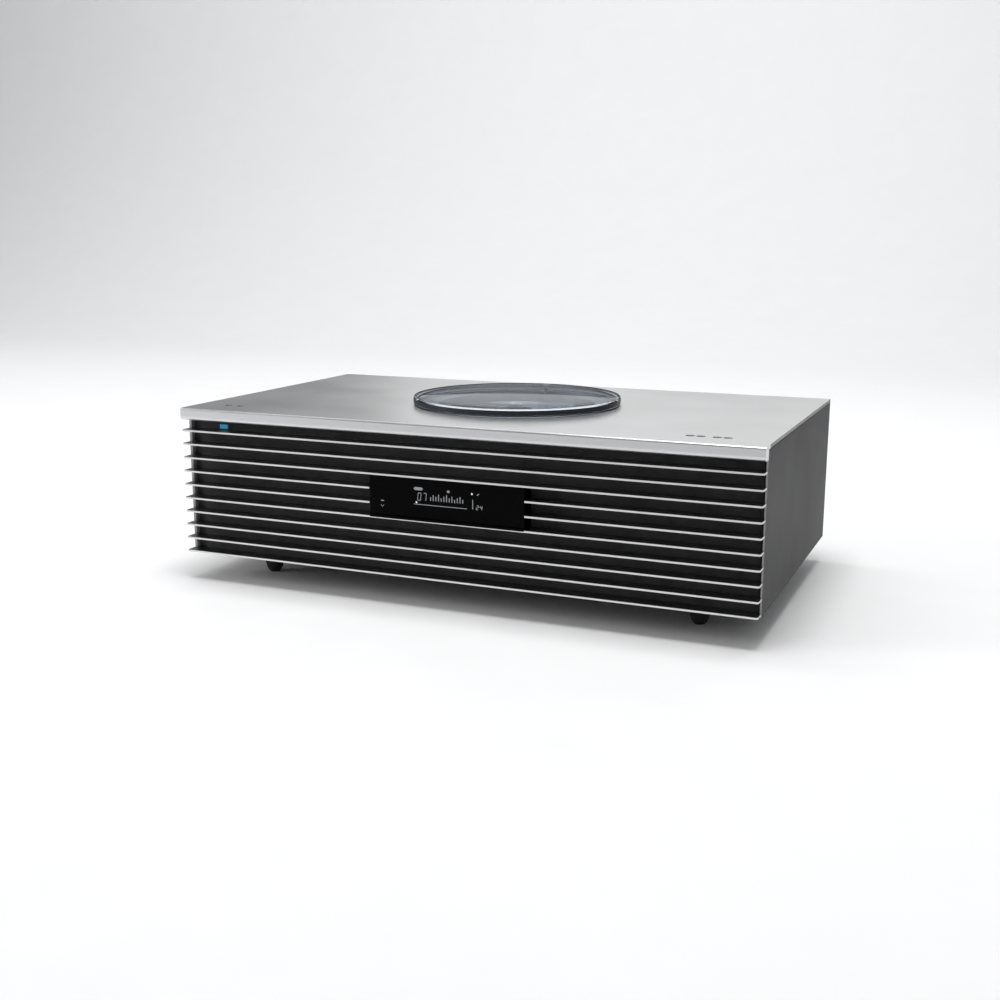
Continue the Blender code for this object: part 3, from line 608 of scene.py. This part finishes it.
def make_display():
    """Lit marks on the window, and the gloss strip along its foot."""
    low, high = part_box("display_window")
    y = low.y - 0.02 * MM
    top = high.z
    marks = strokes(PLAIN_MARKS, top, y)
    for index, figure in enumerate("07"):
        digit(marks, figure, (-22 + 4.2 * index) * MM, top - 15.6 * MM, 2.4 * MM, 5.4 * MM, y)
    for index, figure in enumerate("24"):
        digit(marks, figure, (24 + 2.9 * index) * MM, top - 18.6 * MM, 1.5 * MM, 3 * MM, y)
    foot = top - 15.4 * MM
    for index, height in enumerate(BAR_HEIGHTS):
        bar_x = (-11.5 + 2.1 * index) * MM
        stroke(marks, bar_x, foot, bar_x, foot + height * MM, 0.7 * MM, y)
    piece("display_dots", strokes(BRIGHT_MARKS, top, y), GLYPH_BRIGHT, CASE)
    piece("display_marks", marks, GLYPH, CASE)
    piece("window_icon", strokes(ICON_MARKS, top, y), GLYPH, CASE)
    fin_low, fin_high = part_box("fin_06")
    trim = block(
        bmesh.new(),
        (low.x, fin_low.y - 0.35 * MM, (fin_low.z + fin_high.z) / 2),
        (high.x, fin_low.y - 0.03 * MM, low.z + 1.2 * MM),
        0.1 * MM,
    )
    piece("window_foot_trim", trim, GLOSS, CASE)


# --- Underside and rear ---------------------------------------------------------------------------


def screw_head(shape, centre, turn, radius):
    """A domed head with a round recess."""
    depth = radius * 0.55
    recess = radius * 0.42
    sunk = -0.05 * MM
    profile = [(0, depth * 0.15), (recess, depth * 0.15), (recess, depth * 0.72)]
    profile += [(radius * 0.75, depth * 0.62), (radius * 0.95, depth * 0.3), (radius, sunk), (0, sunk)]
    lathe(shape, profile, centre, turn, steps=24)


def make_screws():
    low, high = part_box("bottom_plate")
    heads = bmesh.new()
    inset = 12 * MM
    for x in (low.x + inset, -70 * MM, 70 * MM, high.x - inset):
        for y in (low.y + inset, high.y - inset):
            screw_head(heads, (x, y, low.z), FACING_DOWN, 3 * MM)
    for x in (-46 * MM, 46 * MM):
        for y in (-36 * MM, 56 * MM):
            screw_head(heads, (x, y, low.z), FACING_DOWN, 2.6 * MM)
    piece("underside_screws", heads, BLACK, CASE)
    low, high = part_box("rear_panel")
    heads = bmesh.new()
    inset = 7 * MM
    for x in (low.x + inset, -75 * MM, 75 * MM, high.x - inset):
        for z in (low.z + inset, high.z - inset):
            screw_head(heads, (x, high.y, z), FACING_REAR, 2.6 * MM)
    piece("rear_screws", heads, STEEL, CASE)


def make_port_flare():
    low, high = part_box("bass_port")
    panel_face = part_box("rear_panel")[1].y
    centre = Vector((0, panel_face, (low.z + high.z) / 2))
    inner, outer = 18.8 * MM, 23 * MM
    profile = [(inner, 0.05 * MM), (outer, 0.05 * MM), (outer - 0.4 * MM, 0.9 * MM)]
    profile += [(20.6 * MM, 1.5 * MM), (inner, 1.3 * MM)]
    flare = lathe(bmesh.new(), profile, centre, FACING_REAR, ring=True)
    piece("port_flare", flare, BLACK, CASE)


def socket_shell(shape, x, half_x, half_z, face, middle):
    """The four thin walls of a metal shell that lines a socket."""
    wall, gap = 0.35 * MM, 0.02 * MM
    back, front = face - 9 * MM, face + 0.3 * MM
    for side in (-1, 1):
        xs = sorted((x + side * (half_x - wall), x + side * (half_x - gap)))
        block(shape, (xs[0], back, middle - half_z), (xs[1], front, middle + half_z))
        zs = sorted((middle + side * (half_z - wall), middle + side * (half_z - gap)))
        block(shape, (x - half_x + wall, back, zs[0]), (x + half_x - wall, front, zs[1]))


def make_sockets():
    """Shells and contacts for the network and USB sockets, and rings round the three jacks."""
    low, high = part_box("rear_jacks")
    face = high.y
    middle = (low.z + high.z) / 2
    shells = bmesh.new()
    socket_shell(shells, -166 * MM, 6.2 * MM, 4.6 * MM, face, middle)
    socket_shell(shells, -146 * MM, 6.6 * MM, 2.9 * MM, face, middle)
    piece("socket_shells", shells, STEEL, CASE)
    contacts = bmesh.new()
    back = face - 9 * MM
    for index in range(8):
        x = (-169.5 + index) * MM
        near = (x - 0.2 * MM, back, middle + 1.4 * MM)
        far = (x + 0.2 * MM, face - 2.5 * MM, middle + 1.9 * MM)
        block(contacts, near, far)
    block(contacts, (-151 * MM, back, middle - 0.9 * MM), (-141 * MM, face - MM, middle + 0.9 * MM))
    piece("socket_contacts", contacts, BRASS, CASE)
    rings = bmesh.new()
    for x, inner in ((-130, 1.95), (-118.5, 1.95), (-107, 2.25)):
        outline = [(inner, 0.02), (inner + 1.4, 0.02), (inner + 1.1, 0.8), (inner, 0.8)]
        profile = [(radius * MM, height * MM) for radius, height in outline]
        lathe(rings, profile, (x * MM, face, middle), FACING_REAR, 40, ring=True)
    piece("jack_rings", rings, BRIGHT, CASE)


def make_foot_collars():
    """A thin ring where each foot meets the underside."""
    collars = bmesh.new()
    inner, outer = 9.7 * MM, 11.5 * MM
    for name in NODES:
        if name.startswith("foot_"):
            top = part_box(name)[1].z
            foot, brow = top - 0.6 * MM, top + 0.25 * MM
            profile = [(inner, foot), (outer, foot), (outer, brow), (inner, brow)]
            lathe(collars, profile, footprint(name), steps=64, ring=True)
    piece("foot_collars", collars, BLACK, CASE)


# --- Camera, floor and light ----------------------------------------------------------------------


def aim(obj, position, target):
    obj.location = position
    direction = Vector(target) - Vector(position)
    obj.rotation_euler = direction.to_track_quat("-Z", "Y").to_euler()


def make_camera():
    data = bpy.data.cameras.new("camera")
    data.lens = 45
    data.sensor_width = 36
    camera = bpy.data.objects.new("camera", data)
    bpy.context.scene.collection.objects.link(camera)
    eye = Vector((0.377, -0.908, 0.2677))
    aim(camera, eye, eye + Vector((-0.3855, 0.8986, -0.2094)))
    camera.rotation_euler.rotate_axis("Z", math.radians(0.1))
    bpy.context.scene.camera = camera


def area_light(name, position, target, width, height, power):
    data = bpy.data.lights.new(name, "AREA")
    data.shape = "RECTANGLE"
    data.size = width
    data.size_y = height
    data.energy = power
    light = bpy.data.objects.new(name, data)
    bpy.context.scene.collection.objects.link(light)
    aim(light, position, target)
    return light


def sheet_of_studio(name, path, finish):
    """A wide smooth sheet that follows (y, z) points."""
    shape = bmesh.new()
    rows = [[shape.verts.new((x, y, z)) for x in (-7, 7)] for y, z in path]
    for first, second in zip(rows, rows[1:]):
        shape.faces.new([first[0], first[1], second[1], second[0]])
    mesh = bpy.data.meshes.new(name)
    shape.to_mesh(mesh)
    shape.free()
    for polygon in mesh.polygons:
        polygon.use_smooth = True
    obj = bpy.data.objects.new(name, mesh)
    bpy.context.scene.collection.objects.link(obj)
    mesh.materials.append(finish.material)
    return obj


def make_world():
    """Dim at the horizon and brighter overhead, as in a room with a lit ceiling."""
    world = bpy.data.worlds.new("studio_world")
    world.use_nodes = True
    tree = world.node_tree
    direction = tree.nodes.new("ShaderNodeTexCoord")
    split = tree.nodes.new("ShaderNodeSeparateXYZ")
    height = tree.nodes.new("ShaderNodeMapRange")
    height.interpolation_type = "SMOOTHSTEP"
    height.inputs["From Min"].default_value = 0.02
    height.inputs["From Max"].default_value = 0.5
    height.inputs["To Min"].default_value = WORLD_HORIZON
    height.inputs["To Max"].default_value = WORLD_OVERHEAD
    tree.links.new(direction.outputs["Generated"], split.inputs[0])
    tree.links.new(split.outputs["Z"], height.inputs["Value"])
    tree.links.new(height.outputs["Result"], tree.nodes["Background"].inputs["Strength"])
    tree.nodes["Background"].inputs["Color"].default_value = (0.98, 0.99, 1.0, 1)
    bpy.context.scene.world = world


def make_studio():
    white = surface("studio_white", (0.90, 0.90, 0.905), 0.8, grain=30, relief=0.02, tint=0.01)
    sheet_of_studio("studio_floor", [(-5.0, 0.0), (SWEEP_START, 0.0)], white)
    curve, wall = 1.4, 4.0
    steps = 24
    bend = [math.pi / 2 * i / steps for i in range(steps + 1)]
    path = [(SWEEP_START + curve * math.sin(a), curve - curve * math.cos(a)) for a in bend]
    path.append((SWEEP_START + curve, wall))
    backdrop = sheet_of_studio("studio_backdrop", path, white)
    backdrop.visible_glossy = False
    make_world()
    area_light("overhead_softbox", (0.1, -0.25, 1.9), (0, 0, 0), 0.8, 0.7, 19.5)
    sheen = area_light("rear_right_softbox", (0.15, 1.75, 1.0), (0.05, -0.05, 0.12), 2.7, 1.2, 8)
    sheen.visible_diffuse = False
    area_light("left_fill", (-2.4, -1.3, 0.85), (0, 0, 0.07), 0.7, 1.1, 27)
    area_light("backdrop_wash", (-0.7, 0.4, 2.7), (-1.0, 2.9, 0.8), 3.0, 0.8, 44)
    bpy.context.scene.view_settings.view_transform = "Standard"


finish_cad_nodes()
make_lid()
make_lid_band()
make_well_detail()
make_display()
make_screws()
make_port_flare()
make_sockets()
make_foot_collars()
make_camera()
make_studio()
